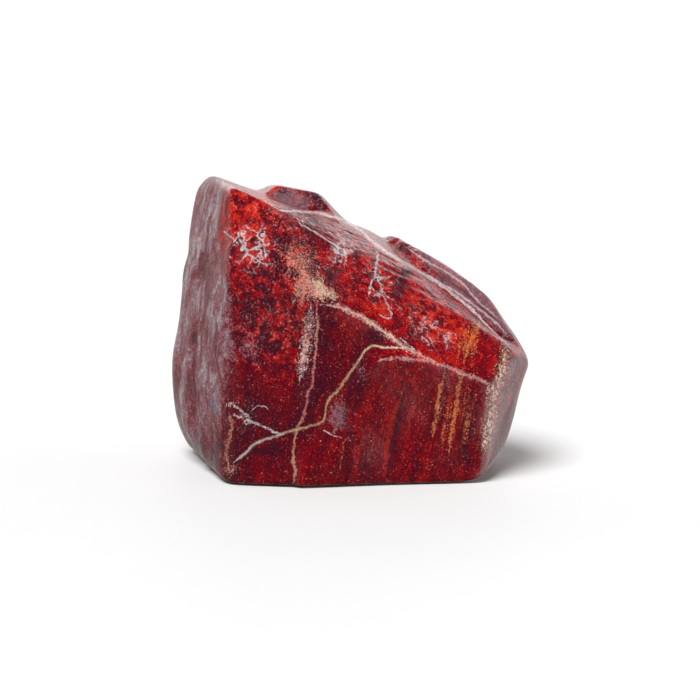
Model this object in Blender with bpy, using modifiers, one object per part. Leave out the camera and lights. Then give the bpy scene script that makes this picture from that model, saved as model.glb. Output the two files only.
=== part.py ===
"""Red jasper, a palm-size tumbled stone. Metres, +Z up, +X to the right of the face that looks towards -Y.

The stone is a bedded rock that broke along its sheets and was then tumbled and polished. It is built in
that order: a block is cut to flat facets, the sheets that broke away in steps are left on its front and
top, shallow hollows are scooped out, and the whole is tumbled smooth. It ends on a small flat base.
"""

import math

import bmesh
import bpy
import numpy as np
from mathutils import Matrix, Vector

MM = 0.001

# A point well inside the stone. Facets and hollows are measured from it.
MIDDLE = Vector((0.1, -1.4, 17.35)) * MM

# Every facet is (azimuth, elevation, distance): the way it faces in degrees, where azimuth 0 is -Y and 90
# is +X, and how far it lies from the middle, in millimetres.
BODY = {
    "brow": (-8, 29, 15.2),
    "shoulder": (34, 42, 10.75),
    "front_right": (59, -2, 21.0),
    "left": (-68, 2, 18.85),
    "left_top": (-72, 11, 18.95),
    "left_low": (-76, -12, 22.65),
    "left_foot": (-76, -28, 24.15),
    "left_heel": (-76, -50, 24.9),
    "left_corner": (-40, 2.5, 18.95),
    "peak_chip": (-75, 45, 24.3),
    "right_end": (75, -13.7, 22.6),
    "right_rim": (95, -21.5, 23.5),
    "right_foot": (85, -53, 23.6),
    "back": (172, 4, 15.0),
    "back_left": (-122, 1, 23.8),
    "back_right": (130, -8, 20.5),
    "back_top": (165, 44, 17.3),
    "back_foot": (178, -42, 18.5),
    "right_top": (88, 31, 17.75),
    "under_front": (0, -88, 17.57),
    "under_back": (180, -86, 17.68),
    "under_left": (-90, -87, 17.89),
    "under_right": (90, -87, 17.87),
}

# The front is three sheets of the bedding, each one standing a little further forward.
FRONT_SHEETS = {
    "front_core": {
        "front_left": (-11, 3.5, 14.75),
        "core_face": (7, 3.5, 12.74),
    },
    "front_middle": {
        "middle_face": (7, 1.5, 13.35),
        "middle_step": (-35, 5.9, 14.16),
    },
    "front_slab": {
        "slab_face": (11, -1.5, 14.4),
        "slab_sill": (11, 38, 10.5),
        "slab_edge": (-20, 17.6, 11.22),
        "slab_left": (-45, 4, 14.12),
    },
}

# The top is a long sloping crown with two ledges standing up behind it.
TOP_SHEETS = {
    "top_crown": {
        "crown": (58, 54, 10.75),
        "roof": (90, 53, 11.15),
        "peak_top": (96, 71, 12.75),
    },
    "top_lump": {
        "lump_top": (100, 79, 16.4),
        "lump_right": (88, 42, 8.4),
        "lump_front": (-10, 35, 7.7),
        "lump_left": (-75, 52, 19.3),
    },
    "top_ledge": {
        "ledge_top": (100, 59, 13.55),
        "ledge_end": (110, 42, 16.1),
        "ledge_front": (20, 30, 4.2),
        "ledge_left": (-60, 40, -0.65),
    },
}

# A hollow is part of an ellipsoid: its centre from the middle and its three half-sizes in millimetres,
# and the azimuth and elevation that its first half-size points along.
HOLLOWS = {
    "brow_dish": ((-13.4, -12.9, 14.6), (6.8, 4.4, 3.0), 172, 61),
    "mid_dish": ((-10.6, -18.6, 3.5), (13.0, 12.0, 6.0), 0, 88),
    "shoulder_dish": ((-0.5, -13.2, 14.2), (5.0, 3.0, 4.6), 110, -38),
    "roof_scoop": ((6.0, 14.6, 14.8), (6.5, 4.5, 4.0), 100, -20),
    "back_dish": ((3.0, 22.4, 1.0), (22.0, 8.0, 18.0), 90, 20),
    "end_chip": ((25.8, 9.0, -4.5), (5.0, 4.0, 4.0), 0, 60),
    "left_notch": ((-23.8, 8.0, 9.5), (1.6, 5.0, 2.2), 90, 85),
}

# Tumbling leaves low waves all over the stone. They die out just above the base.
WAVE_COUNT = 16
WAVE_SEED = 7
WAVE_LENGTHS = (6.0 * MM, 16.0 * MM)
WAVE_HEIGHT = 0.04 * MM
WAVE_RISE = 3.0 * MM

BLOCK_SIDE = 140 * MM
BASE_HEIGHT = 0.0
BASE_STOCK = 0.3 * MM
HOLLOW_DETAIL = 5
GRAIN = 0.5 * MM
TUMBLE_FACTOR = 0.5
TUMBLE_ROUNDS = 9
MOST_TRIANGLES = 8600

STONE_COLOUR = (0.24, 0.015, 0.018, 1.0)
STONE_ROUGHNESS = 0.22


def clear_scene():
    for obj in list(bpy.data.objects):
        bpy.data.objects.remove(obj)


def new_collection(name):
    collection = bpy.data.collections.new(name)
    bpy.context.scene.collection.children.link(collection)
    return collection


def direction(azimuth, elevation):
    """The unit vector that faces this way: azimuth 0 is -Y, 90 is +X, and elevation is up from level."""
    around = math.radians(azimuth)
    up = math.radians(elevation)
    return Vector((math.sin(around) * math.cos(up), -math.cos(around) * math.cos(up), math.sin(up)))


def add_object(name, bm, collection):
    mesh = bpy.data.meshes.new(name)
    bm.to_mesh(mesh)
    bm.free()
    obj = bpy.data.objects.new(name, mesh)
    collection.objects.link(obj)
    return obj


def cut_flat(bm, point, normal):
    """Takes away what lies beyond a plane, and closes the cut with one flat face."""
    geometry = bm.verts[:] + bm.edges[:] + bm.faces[:]
    cut = bmesh.ops.bisect_plane(
        bm, geom=geometry, dist=1e-7, plane_co=point, plane_no=normal, clear_outer=True
    )
    edges = [part for part in cut["geom_cut"] if isinstance(part, bmesh.types.BMEdge)]
    if edges:
        bmesh.ops.contextual_create(bm, geom=edges)


def cut_block(name, facets, collection):
    """A large cube cut down to the given facets."""
    bm = bmesh.new()
    bmesh.ops.create_cube(bm, size=BLOCK_SIDE, matrix=Matrix.Translation(MIDDLE))
    for azimuth, elevation, distance in facets.values():
        normal = direction(azimuth, elevation)
        cut_flat(bm, MIDDLE + normal * distance * MM, normal)
    bmesh.ops.recalc_face_normals(bm, faces=bm.faces)
    return add_object(name, bm, collection)


def scoop(name, centre, half_sizes, azimuth, elevation, collection):
    """An ellipsoid to take a hollow out with, its first half-size along the given way."""
    along = direction(azimuth, elevation)
    side = Vector((0.0, 0.0, 1.0)).cross(along).normalized()
    turn = Matrix((along, side, along.cross(side))).transposed().to_4x4()
    place = Matrix.Translation(MIDDLE + Vector(centre) * MM)
    bm = bmesh.new()
    bmesh.ops.create_icosphere(bm, subdivisions=HOLLOW_DETAIL, radius=1.0)
    bm.transform(place @ turn @ Matrix.Diagonal((*(size * MM for size in half_sizes), 1.0)))
    return add_object(name, bm, collection)


def combine(obj, other, operation):
    modifier = obj.modifiers.new(f"{operation.lower()} {other.name}", "BOOLEAN")
    modifier.object = other
    modifier.operation = operation


def stack_sheets(sheets, collection):
    """One solid made of the blocks of several sheets."""
    blocks = [cut_block(name, facets, collection) for name, facets in sheets.items()]
    for block in blocks[1:]:
        combine(blocks[0], block, "UNION")
    return blocks[0]


def hide_cutters(collection):
    for obj in collection.objects:
        obj.hide_render = True
        obj.display_type = "WIRE"


def apply_modifiers(obj):
    """Replaces the object's mesh by the one that its modifiers make."""
    graph = bpy.context.evaluated_depsgraph_get()
    graph.update()
    mesh = bpy.data.meshes.new_from_object(obj.evaluated_get(graph))
    obj.modifiers.clear()
    obj.data = mesh
    mesh.name = obj.name


def tumble(obj):
    """Rounds every edge a little, as tumbling does."""
    remesh = obj.modifiers.new("grain", "REMESH")
    remesh.mode = "VOXEL"
    remesh.voxel_size = GRAIN
    smooth = obj.modifiers.new("tumble", "SMOOTH")
    smooth.factor = TUMBLE_FACTOR
    smooth.iterations = TUMBLE_ROUNDS
    apply_modifiers(obj)


def waves(points):
    """The height of the low waves at each point: a sum of sines that run in different directions.

    It is multiplied by the point's height over WAVE_RISE, held between 0 and 1.
    """
    rng = np.random.default_rng(WAVE_SEED)
    height = np.zeros(len(points))
    for _ in range(WAVE_COUNT):
        way = rng.normal(size=3)
        way /= np.linalg.norm(way)
        turns = 2 * np.pi / rng.uniform(*WAVE_LENGTHS)
        height += WAVE_HEIGHT * np.sin(points @ way * turns + rng.uniform(0, 2 * np.pi))
    return height * np.clip(points[:, 2] / WAVE_RISE, 0.0, 1.0)


def add_waves(obj):
    """Moves each vertex along its normal by the height of the waves there."""
    mesh = obj.data
    points = np.empty(len(mesh.vertices) * 3)
    mesh.vertices.foreach_get("co", points)
    points = points.reshape(-1, 3)
    normals = np.empty(len(mesh.vertices) * 3)
    mesh.vertices.foreach_get("normal", normals)
    moved = points - normals.reshape(-1, 3) * waves(points)[:, None]
    mesh.vertices.foreach_set("co", moved.ravel())
    mesh.update()


def thin_out(obj):
    """Fewer, larger triangles where the stone is flat."""
    obj.data.calc_loop_triangles()
    decimate = obj.modifiers.new("thin out", "DECIMATE")
    decimate.ratio = MOST_TRIANGLES / len(obj.data.loop_triangles)
    apply_modifiers(obj)


def grind_base(obj):
    """Cuts the stone off at the height that it rests on."""
    bm = bmesh.new()
    bm.from_mesh(obj.data)
    cut_flat(bm, Vector((0.0, 0.0, BASE_HEIGHT)), Vector((0.0, 0.0, -1.0)))
    bmesh.ops.triangulate(bm, faces=bm.faces)
    bm.to_mesh(obj.data)
    bm.free()


def stone_material():
    material = bpy.data.materials.new("polished red jasper")
    material.use_nodes = True
    shader = material.node_tree.nodes["Principled BSDF"]
    shader.inputs["Base Color"].default_value = STONE_COLOUR
    shader.inputs["Roughness"].default_value = STONE_ROUGHNESS
    shader.inputs["Metallic"].default_value = 0.0
    material.diffuse_color = STONE_COLOUR
    return material


def build_stone(parts, cutters):
    base = {"base": (0, -90, (MIDDLE.z - BASE_HEIGHT + BASE_STOCK) / MM)}
    stone = cut_block("stone", BODY | base, parts)
    for sheets in (FRONT_SHEETS, TOP_SHEETS):
        combine(stone, stack_sheets(sheets, cutters), "INTERSECT")
    for name, hollow in HOLLOWS.items():
        combine(stone, scoop(name, *hollow, cutters), "DIFFERENCE")
    hide_cutters(cutters)
    apply_modifiers(stone)
    tumble(stone)
    add_waves(stone)
    thin_out(stone)
    grind_base(stone)
    stone.data.materials.clear()
    stone.data.materials.append(stone_material())
    stone.data.shade_smooth()
    return stone


def main():
    clear_scene()
    parts = new_collection("red jasper")
    cutters = new_collection("cutters")
    build_stone(parts, cutters)


main()
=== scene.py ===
"""Looks of the red jasper: its polished, bedded and veined surface, the floor it rests on and soft light.

Every size inside is in millimetres, and becomes metres when a mesh is made. +X is to the right of the
stepped front face, +Y goes back and +Z is up. Places of veins and patches are given as (across, up) on a
flat picture of the stone from the front: millimetres to the right of its middle and above its base line.
"""

import bpy
import numpy as np
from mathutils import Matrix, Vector


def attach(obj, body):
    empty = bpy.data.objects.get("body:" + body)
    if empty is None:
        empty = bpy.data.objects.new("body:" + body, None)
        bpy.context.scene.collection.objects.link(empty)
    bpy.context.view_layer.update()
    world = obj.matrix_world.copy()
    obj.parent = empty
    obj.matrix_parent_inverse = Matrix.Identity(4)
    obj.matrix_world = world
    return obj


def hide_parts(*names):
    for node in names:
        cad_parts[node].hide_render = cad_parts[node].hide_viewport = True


bl_info = {
    "name": "Red jasper looks",
    "version": (1, 0, 0),
    "blender": (4, 5, 0),
    "location": "View3D > Sidebar > Red jasper",
    "description": "Dresses the stone in its polished jasper and sets up the studio",
    "category": "Object",
}

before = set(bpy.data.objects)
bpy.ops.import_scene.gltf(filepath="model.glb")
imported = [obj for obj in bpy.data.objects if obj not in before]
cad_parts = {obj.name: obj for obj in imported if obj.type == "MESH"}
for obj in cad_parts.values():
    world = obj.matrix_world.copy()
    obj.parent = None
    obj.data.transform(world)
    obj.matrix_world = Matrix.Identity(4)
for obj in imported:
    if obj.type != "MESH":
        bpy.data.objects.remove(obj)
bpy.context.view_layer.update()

MM = 0.001

# The stone's shape. A facet is (azimuth, elevation, distance from the middle), in degrees and millimetres:
# azimuth 0 faces -Y and 90 faces +X.
MIDDLE = np.array((0.1, -1.4, 17.35))
BODY = {
    "brow": (-8, 29, 15.2),
    "shoulder": (34, 42, 10.75),
    "front_right": (59, -2, 21.0),
    "left": (-68, 2, 18.85),
    "left_top": (-72, 11, 18.95),
    "left_low": (-76, -12, 22.65),
    "left_foot": (-76, -28, 24.15),
    "left_heel": (-76, -50, 24.9),
    "left_corner": (-40, 2.5, 18.95),
    "peak_chip": (-75, 45, 24.3),
    "right_end": (75, -13.7, 22.6),
    "right_rim": (95, -21.5, 23.5),
    "right_foot": (85, -53, 23.6),
    "right_top": (88, 31, 17.75),
    "back": (172, 4, 15.0),
    "back_left": (-122, 1, 23.8),
    "back_right": (130, -8, 20.5),
    "back_top": (165, 44, 17.3),
    "back_foot": (178, -42, 18.5),
}
UNDERSIDE = {
    "base": (0, -90, 17.35),
    "under_front": (0, -88, 17.57),
    "under_back": (180, -86, 17.68),
    "under_left": (-90, -87, 17.89),
    "under_right": (90, -87, 17.87),
}
FRONT_SHEETS = {
    "front_core": {"front_left": (-11, 3.5, 14.75), "core_face": (7, 3.5, 12.74)},
    "front_middle": {"middle_face": (7, 1.5, 13.35), "middle_step": (-35, 5.9, 14.16)},
    "front_slab": {
        "slab_face": (11, -1.5, 14.4), "slab_sill": (11, 38, 10.5),
        "slab_edge": (-20, 17.6, 11.22), "slab_left": (-45, 4, 14.12),
    },
}
TOP_SHEETS = {
    "top_crown": {"crown": (58, 54, 10.75), "roof": (90, 53, 11.15), "peak_top": (96, 71, 12.75)},
    "top_lump": {
        "lump_top": (100, 79, 16.4), "lump_right": (88, 42, 8.4),
        "lump_front": (-10, 35, 7.7), "lump_left": (-75, 52, 19.3),
    },
    "top_ledge": {
        "ledge_top": (100, 59, 13.55), "ledge_end": (110, 42, 16.1),
        "ledge_front": (20, 30, 4.2), "ledge_left": (-60, 40, -0.65),
    },
}
# A hollow is (centre from the middle, three half-sizes, azimuth and elevation of the first half-size).
HOLLOWS = {
    "brow_dish": ((-13.4, -12.9, 14.6), (6.8, 4.4, 3.0), 172, 61),
    "mid_dish": ((-10.6, -18.6, 3.5), (13.0, 12.0, 6.0), 0, 88),
    "shoulder_dish": ((-0.5, -13.2, 14.2), (5.0, 3.0, 4.6), 110, -38),
    "roof_scoop": ((6.0, 14.6, 14.8), (6.5, 4.5, 4.0), 100, -20),
    "back_dish": ((3.0, 22.4, 1.0), (22.0, 8.0, 18.0), 90, 20),
    "end_chip": ((25.8, 9.0, -4.5), (5.0, 4.0, 4.0), 0, 60),
    "left_notch": ((-23.8, 8.0, 9.5), (1.6, 5.0, 2.2), 90, 85),
}
# How softly neighbouring surfaces run together.
SHEET_EDGE = 0.14
SHEET_STEP = 0.06
TOP_EDGE = 0.22
TOP_STEP = 0.25
HOLLOW_RIM = 0.4
BASE_EDGE = 0.05
UNDER_EDGE = 0.25

WAVE_COUNT = 16
WAVE_SEED = 7
WAVE_LENGTHS = (6.0, 16.0)
WAVE_HEIGHT = 0.04
WAVE_RISE = 3.0

NEAREST, FARTHEST = 7.0, 33.0
HALVINGS = 15

# The flat picture that places are given on: where the eye is, and where its base line lies.
EYE_TARGET = np.array((0.1, -1.4, 15.01))
EYE_ELEVATION = 8.0
EYE_DISTANCE = 298.3
PICTURE_BASE = 17.1

# Patches on the front: (across, up, half-width, half-height, turn in degrees, strength). Tone brightens or
# darkens the red, grain makes it restless, crackle brings white cracks, and the others their own colour,
# though the grey on the lump and on the ledge is painted sheen.
PATCHES = {
    "tone": [
        (-13.4, 33.5, 3.6, 5.4, 0, 0.9), (-11.2, 36.3, 2.0, 2.3, 0, 0.5),
        (6.4, 24.8, 8.9, 3.3, -33, 0.6), (3.1, 22.1, 2.0, 1.2, -30, 0.7),
        (13.4, 18.8, 4.8, 2.8, -36, 0.8), (6.3, 25.2, 0.9, 2.6, -14, -1.0),
        (0.3, 27.6, 1.5, 1.8, 0, -0.4), (-11.2, 21.0, 3.8, 5.9, 0, -0.25),
        (-9.1, 19.4, 1.5, 2.3, 0, 0.6), (-11.2, 8.5, 4.3, 6.4, 0, -0.5),
        (12.5, 27.3, 6.6, 1.5, -33, 0.5), (-10.7, 4.2, 1.7, 0.5, 5, -1.0),
        (-1.4, 16.4, 3.2, 6.2, 0, -0.55), (3.6, 18.8, 1.2, 1.2, 0, -1.0),
        (9.5, 16.0, 3.1, 0.6, -14, 0.8), (10.2, 8.0, 6.4, 6.4, 0, -0.2),
        (-9.5, 38.0, 3.2, 0.4, -4, 0.9), (-4.0, 36.3, 1.6, 0.9, -20, -0.8),
        (-18.4, 27.1, 0.8, 3.5, 0, -1.0), (-20.4, 14.0, 1.2, 4.0, 0, -0.8),
        (-18.6, 3.0, 3.6, 5.0, -35, -0.9),
    ],
    "grain": [
        (-12.8, 32.0, 3.4, 6.0, 0, 0.5), (-10.7, 20.4, 4.4, 6.6, 0, 1.0),
        (-5.6, 18.0, 0.9, 5.6, 5, 0.8), (-5.8, 27.0, 3.2, 5.4, 30, 0.7),
        (20.3, 14.6, 1.6, 3.0, 0, 0.9), (-6.9, 36.4, 4.4, 1.8, -10, 1.0),
        (12.5, 27.3, 7.0, 1.8, -33, 1.0), (-14.0, 8.4, 2.2, 2.2, 0, 0.5),
        (0.5, 28.0, 4.0, 5.0, -30, 0.6), (9.0, 22.0, 6.0, 4.5, -35, 0.35),
    ],
    "ochre": [
        (13.0, 9.5, 2.4, 5.6, -8, 0.75), (15.4, 18.4, 1.3, 3.4, -20, 1.0),
        (-0.9, 4.0, 1.2, 4.0, -8, 0.35), (16.0, 6.0, 2.2, 4.0, -8, 0.4),
    ],
    "tan": [
        (-6.6, 28.4, 2.1, 3.0, 30, 0.85), (-4.5, 24.6, 1.3, 1.6, 25, 0.8),
        (-10.0, 34.3, 1.0, 1.5, 20, 0.4), (-15.3, 1.8, 1.0, 0.8, 0, 0.8),
        (11.4, 9.5, 0.4, 0.8, 0, 0.7), (-15.0, 10.1, 0.8, 0.5, 0, 0.7),
        (-6.4, 24.5, 0.9, 1.5, 0, 0.8),
    ],
    "cream": [
        (-3.9, 25.2, 0.9, 2.0, 15, 1.0), (-2.3, 24.2, 1.2, 0.8, -35, 0.8),
        (19.6, 16.6, 0.9, 1.8, -10, 0.7), (-15.4, 10.2, 0.6, 0.5, 0, 0.8),
        (-19.5, 31.2, 0.6, 0.4, 0, 1.0),
    ],
    # The grey on the lump at (-7.6, 36.4) and on the ledge at (12.0, 27.6) is painted sheen.
    "grey": [
        (-1.7, 29.9, 1.2, 1.9, -20, 0.9), (-7.6, 36.4, 3.6, 1.7, -10, 1.2),
        (12.0, 27.6, 7.4, 1.9, -33, 1.1), (-13.0, 17.4, 2.6, 2.4, 0, 0.7),
        (-1.5, 8.7, 1.5, 2.7, 0, 1.0), (1.4, 14.6, 1.3, 1.9, 25, 0.6),
        (20.6, 14.6, 0.9, 2.0, 0, 0.9), (-15.6, 21.0, 0.8, 15.0, 0, 0.6),
        (15.5, 24.0, 4.0, 1.6, -42, 1.0), (19.2, 20.6, 3.5, 1.3, -50, 1.0),
        (19.4, 11.2, 0.4, 0.6, 0, 1.0),
    ],
    "crackle": [
        (-12.4, 30.2, 3.1, 3.1, 0, 1.15), (-13.6, 8.4, 1.7, 1.7, 0, 0.8),
        (3.8, 25.8, 2.3, 3.8, 0, 0.7), (9.0, 20.4, 4.6, 2.4, -35, 0.45),
        (11.4, 18.8, 4.2, 2.6, -35, 0.45), (-1.2, 29.8, 1.8, 2.8, -20, 0.9),
        (-6.4, 33.1, 2.6, 1.8, -30, 0.5), (10.0, 28.6, 5.0, 1.0, -33, 0.5),
    ],
}

# Routes of the veins and streaks on the front, and of the painted highlights, sheen and shadows along the
# crest, the ridges behind it, the rim, the sill and the step, each from one end to the other.
ROUTES = {
    "olive_vein": [
        (7.9, 16.9), (7.0, 17.3), (5.6, 17.4), (3.8, 17.5), (2.4, 17.4), (1.7, 16.6), (0.9, 15.5),
        (0.0, 14.1), (-0.9, 12.9), (-1.5, 12.0), (-2.6, 10.9), (-3.1, 9.7), (-3.2, 8.7), (-3.8, 7.8),
        (-5.1, 7.4), (-6.9, 6.9), (-8.6, 6.4), (-10.0, 5.9), (-11.9, 5.2), (-13.5, 3.8), (-15.2, 2.4),
    ],
    "node_vein": [(-15.7, 10.4), (-14.3, 9.7), (-12.8, 8.1), (-11.2, 7.4), (-9.6, 6.6), (-8.4, 6.5)],
    "branch_vein": [(-3.5, 7.0), (-2.6, 6.4), (-1.0, 5.8)],
    "pink_vein": [
        (-4.2, 22.7), (-4.2, 20.3), (-4.3, 18.4), (-4.6, 15.2), (-4.7, 13.3), (-5.4, 11.4), (-6.0, 8.4),
        (-6.6, 7.3), (-7.0, 6.0), (-7.2, 4.3), (-7.3, 3.1), (-7.0, 1.2), (-7.3, -0.4),
    ],
    "rim_band": [(-6.4, 28.0), (-5.4, 26.0), (-4.3, 24.4), (-2.9, 23.2)],
    # The rim line is the rim's own cream with a painted highlight on its lit edge.
    "rim_line_and_highlight": [
        (-4.8, 22.7), (-3.6, 22.9), (-2.2, 22.8), (-0.8, 22.4), (1.0, 21.6), (2.3, 20.8), (3.5, 20.0),
        (5.5, 18.6), (7.7, 17.1), (9.8, 16.1), (11.9, 15.0),
    ],
    "purple_streak": [(8.1, 28.4), (6.9, 26.1), (6.3, 24.5), (5.4, 22.7)],
    "purple_streak_low": [
        (7.7, 12.7), (7.0, 11.6), (6.4, 10.1), (6.0, 8.2), (5.6, 5.6), (5.1, 3.7), (4.9, 0.0),
    ],
    "red_streak_low": [(6.9, 12.0), (6.0, 10.0), (5.2, 7.6), (4.6, 3.7), (4.3, 0.0)],
    # The crest highlights and the crest sheen are painted highlights and painted sheen along the crest.
    "crest_highlight": [
        (-11.9, 37.2), (-9.8, 35.5), (-7.0, 34.9), (-2.9, 34.3), (0.6, 32.9), (3.2, 30.7), (5.8, 29.0),
        (10.2, 26.3), (13.5, 24.0), (17.9, 19.9), (21.1, 16.9),
    ],
    "crest_sheen": [(-6.4, 34.8), (-3.0, 34.3), (0.2, 33.3), (3.0, 31.4), (6.0, 29.2), (9.4, 26.6)],
    "crest_highlight_low": [(-7.0, 33.7), (-3.8, 31.7), (-1.3, 30.2), (0.4, 29.1)],
    "gold_vein": [
        (19.3, 18.1), (20.1, 16.9), (19.6, 15.5), (19.2, 13.9), (18.7, 12.7), (18.3, 11.4), (18.1, 10.1),
        (17.9, 8.2), (17.5, 6.3), (17.3, 4.6), (17.0, 3.3),
    ],
    "gold_border": [
        (18.6, 18.0), (18.9, 15.5), (18.4, 13.9), (17.9, 11.4), (17.4, 8.2), (16.9, 6.3), (16.6, 3.6),
    ],
    "dark_streak": [(16.1, 12.8), (15.1, 10.1), (14.3, 6.6), (14.2, 4.1), (13.4, 0.0)],
    "red_line": [(0.5, 11.8), (0.0, 8.8), (-0.6, 6.6), (-1.2, 4.3), (-1.5, 2.2)],
    "step_shadow": [(-6.0, 22.2), (-6.4, 19.7), (-6.5, 17.1), (-6.4, 14.6), (-6.6, 12.3)],
    # The step band is the step's own mottle with painted reflection and painted shade on its left-facing
    # face.
    "step_band_sheen_and_shade": [(-4.9, 23.4), (-5.2, 20.9), (-5.6, 17.8), (-6.1, 15.2), (-6.5, 12.6)],
    "step_pink": [(-5.6, 19.7), (-5.9, 17.1), (-6.3, 14.8)],
    "white_fork": [(3.1, 30.0), (3.5, 28.9), (3.2, 26.7), (2.6, 25.4), (2.4, 24.0)],
    "white_fork_right": [(3.2, 26.7), (4.0, 25.2), (4.2, 24.0), (5.0, 22.5), (5.4, 21.2)],
    "white_hook": [(3.6, 21.7), (4.5, 21.3), (5.4, 21.2)],
    "white_scratch": [(-3.6, 24.5), (-2.7, 23.9), (-1.8, 23.4)],
    "black_scratch": [(-0.1, 24.7), (0.7, 23.6), (1.5, 22.6)],
    "twin_line": [(6.3, 18.7), (7.3, 17.9), (8.3, 17.1)],
    "white_branch": [(-16.2, 32.3), (-15.0, 31.4), (-14.4, 30.7)],
    "white_stem": [(-13.9, 32.8), (-14.1, 31.2), (-13.4, 29.9), (-12.4, 29.0), (-11.2, 28.2)],
    "low_arc": [(-12.6, 9.4), (-12.0, 9.8), (-11.2, 9.9), (-10.4, 9.4)],
    # A painted highlight along the lit sill above the right-hand panel.
    "sill_highlight": [
        (3.3, 15.6), (5.0, 16.0), (6.8, 16.0), (9.4, 15.7), (11.5, 15.2), (14.5, 14.1), (18.0, 12.8),
    ],
    # Painted highlights along two ridges behind the crown, and a painted shadow line beside them.
    "flow_highlight_high": [(6.4, 30.8), (10.2, 28.2), (13.7, 26.1), (16.2, 23.5), (19.6, 20.6)],
    "flow_highlight_low": [(8.8, 27.6), (10.6, 26.3), (14.4, 23.9), (17.9, 21.2), (20.4, 18.4)],
    "flow_shadow": [(8.6, 28.4), (10.4, 27.3), (14.0, 25.0), (17.2, 22.2), (19.9, 19.6)],
    "ochre_line": [(16.7, 21.2), (16.1, 19.4), (15.3, 17.9), (14.5, 15.4)],
    "ochre_line_low": [(14.4, 15.0), (13.9, 12.0), (13.4, 9.0), (12.9, 6.2), (12.6, 3.4)],
    "ochre_line_left": [(11.7, 13.6), (11.3, 11.0), (10.9, 8.4), (10.5, 5.6)],
    "blue_speck": [(-17.7, 11.6), (-17.5, 10.2), (-17.2, 8.6)],
    "blue_fleck": [(-6.35, 16.0), (-6.2, 14.9), (-6.0, 13.6)],
    "left_edge_band": [(-15.5, 9.7), (-15.2, 6.9), (-15.7, 3.7), (-15.5, 1.8)],
}

# The noises of a vein: (how far they bend it, how much they fray it, taper of its ends, how gappy it is).
FAINT = (1.1, 3.2, 0.25, 2.2)
DOTTED = (0.8, 4.0, 0.2, 3.6)
FLECKED = (0.6, 2.0, 0.3, 1.6)
CRISP = (0.5, 0.9, 0.2, 1.4)
BROKEN = (0.6, 1.6, 0.06, 3.0)
# The veins and streaks in their order, with the painted highlights, sheen and shadows among them: (route,
# half-width, noises, share of the colour, colour or ramp).
STROKES = (
    ("purple_streak", 0.9, FAINT, 0.7, "purple"),
    ("purple_streak_low", 0.6, FAINT, 0.95, "purple"),
    ("red_streak_low", 0.45, FAINT, 0.5, "bright_red"),
    ("red_line", 0.3, FAINT, 0.5, "red"),
    # Painted shade: a dark line in the crease beside the step.
    ("step_shadow", 0.2, FAINT, 0.8, "ink"),
    ("dark_streak", 0.3, FAINT, 0.6, "ink"),
    # A painted shadow line beside the ridges behind the crown.
    ("flow_shadow", 0.3, FAINT, 0.6, "purple"),
    ("black_scratch", 0.1, FAINT, 0.7, "ink"),
    ("left_edge_band", 0.32, FAINT, 0.5, "tan"),
    ("rim_band", 0.6, FAINT, 0.6, "salmon"),
    # Painted highlight on the lit rim above the step.
    ("rim_line_and_highlight", 0.42, FAINT, 0.7, "blush_and_sheen"),
    ("ochre_line", 0.34, DOTTED, 0.7, "orange"),
    ("ochre_line_low", 0.3, DOTTED, 0.7, "orange"),
    ("ochre_line_left", 0.26, DOTTED, 0.7, "orange"),
    ("blue_speck", 0.3, FLECKED, 0.8, "slate"),
    ("blue_fleck", 0.2, FLECKED, 0.8, "slate"),
    # Partly painted reflection and painted shade on the face of the step.
    ("step_band_sheen_and_shade", 0.75, (0.9, 3.6, 0.25, 2.6), 0.75, "step_grain_sheen_and_shade"),
    ("step_pink", 0.18, (0.5, 2.4, 0.25, 1.6), 0.75, "salmon"),
    # Painted highlight along the lit sill.
    ("sill_highlight", 0.3, (0.9, 3.4, 0.06, 3.6), 0.6, "blush_and_sheen"),
    # The rim's own cream, along the route of its painted highlight.
    ("rim_line_and_highlight", 0.18, (0.9, 3.0, 0.4, 3.4), 0.7, "cream"),
    ("gold_vein", 0.8, (1.3, 3.4, 0.2, 3.0), 0.8, "gold_grain"),
    ("gold_border", 0.14, (0.9, 2.6, 0.06, 3.0), 0.7, "ink"),
    ("pink_vein", 0.23, (0.8, 2.2, 0.06, 2.2), 0.75, "pink_run"),
    # Painted sheen and painted highlights along the crest and along the ridges behind it.
    ("crest_sheen", 0.9, CRISP, 0.5, "blush_and_sheen"),
    ("crest_highlight", 0.24, CRISP, 0.7, "chalk_and_highlight"),
    ("crest_highlight_low", 0.14, CRISP, 0.6, "chalk_and_highlight"),
    ("flow_highlight_high", 0.16, CRISP, 0.5, "chalk_and_highlight"),
    ("flow_highlight_low", 0.18, CRISP, 0.5, "chalk_and_highlight"),
)
# Colours that run into each other, as (place, colour): with depth, with grain or along a vein.
RAMPS = {
    "beds": (
        (0.14, "purple"), (0.34, "deep_red"), (0.52, "red"), (0.74, "bright_red"), (1.0, "orange_red"),
    ),
    # The left end's clouds: its own grey streaks, partly painted sheen.
    "clouds": (
        (0.24, "purple"), (0.38, "deep_red"), (0.50, "lilac_red"), (0.62, "lilac_grey_and_sheen"), (0.76, "pale_ash_and_sheen"),
    ),
    # The step band's ramp lays the step's own mottle with painted shade and painted reflection.
    "step_grain_sheen_and_shade": ((0.3, "ink"), (0.42, "lilac_grey_and_sheen"), (0.55, "salmon"), (0.7, "chalk_and_highlight")),
    "gold_grain": ((0.36, "ink"), (0.44, "olive"), (0.55, "tan"), (0.65, "cream"), (0.84, "chalk_and_highlight")),
    "pink_run": ((0.0, "salmon"), (0.55, "pink"), (0.75, "tan")),
    "olive_run": ((0.0, "chalk_and_highlight"), (0.14, "cream"), (0.26, "tan"), (0.62, "tan"), (0.80, "pale_ash_and_sheen")),
}
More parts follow.
